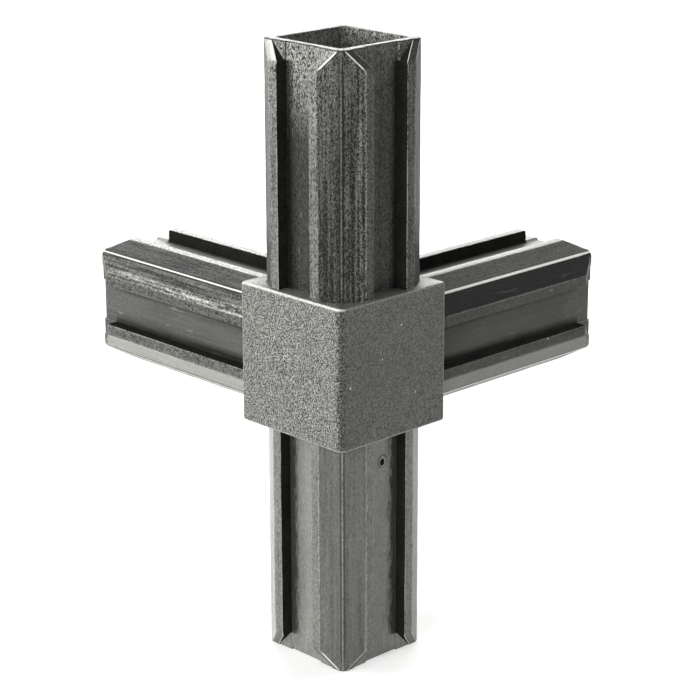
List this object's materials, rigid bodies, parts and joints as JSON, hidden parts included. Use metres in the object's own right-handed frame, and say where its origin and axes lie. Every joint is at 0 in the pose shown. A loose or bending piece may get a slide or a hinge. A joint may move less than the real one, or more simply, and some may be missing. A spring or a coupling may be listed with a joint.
{
  "type": "square tube connector",
  "caption": "Moulded plastic connector for square tube: a cube hub with ribbed, hollow push-fit arms that point up, down and out to the sides at a right angle.",
  "frame": {"origin": "bottom centre of the part's box, level with the end of the lower arm it stands on; the hub's centre is at (-0.021, -0.021, 0.0545)", "axes": "+Z along the upper arm, +X along the right rear arm, +Y along the left rear arm; the hub's plain faces look along -X and -Y"},
  "size_m": [0.067, 0.067, 0.109],
  "materials": {
    "dark_grey_plastic": "fine-grained, dull, with a slight sheen on the ribs"
  },
  "bodies": {
    "root": {"connector_body": "dark_grey_plastic"}
  },
  "joints": []
}
